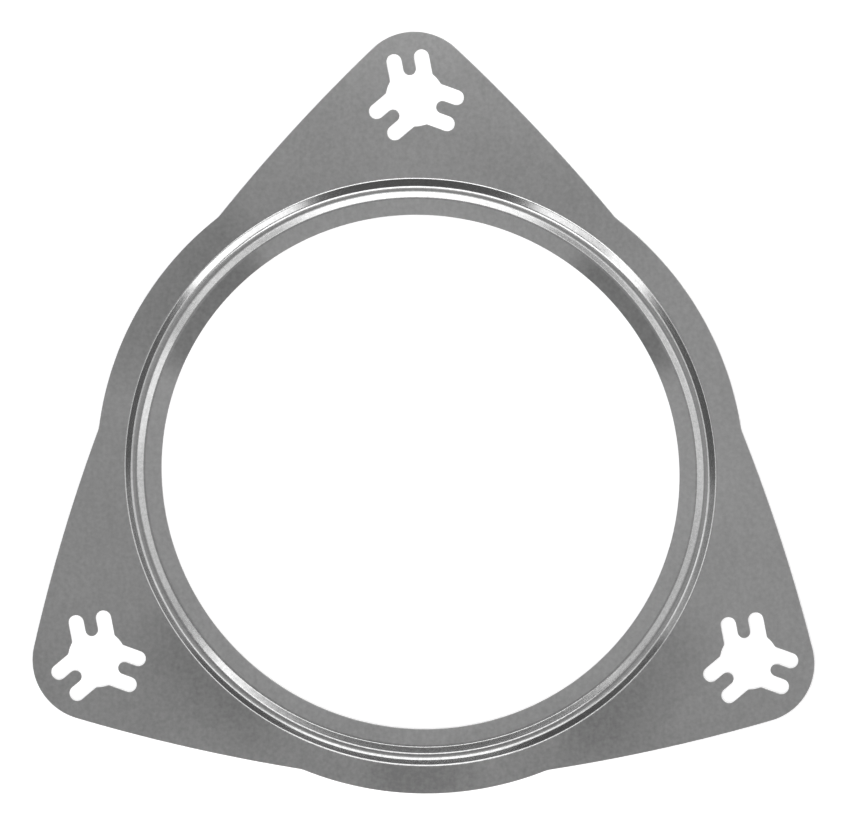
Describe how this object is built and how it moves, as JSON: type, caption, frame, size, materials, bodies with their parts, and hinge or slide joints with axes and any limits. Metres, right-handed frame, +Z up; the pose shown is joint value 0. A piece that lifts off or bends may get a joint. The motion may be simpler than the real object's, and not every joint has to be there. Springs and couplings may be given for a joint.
{
  "type": "exhaust gasket",
  "caption": "Stamped steel exhaust gasket: large round bore, a pressed sealing bead around it, and rounded lobes with star-shaped stud holes whose tongues grip the studs.",
  "frame": {"origin": "centre of the gas bore, on the underside of the flat sheet", "axes": "+Z up along the bore's axis, the way the bead stands proud; +Y from the bore towards one of the lobes; +X to the right of it"},
  "size_m": [0.1572, 0.154, 0.0015],
  "materials": {
    "stainless_sheet": "dull grey rolled sheet, satin, with a brighter burnished bead and sheared edges"
  },
  "bodies": {
    "root": {"gasket": "stainless_sheet"}
  },
  "joints": []
}
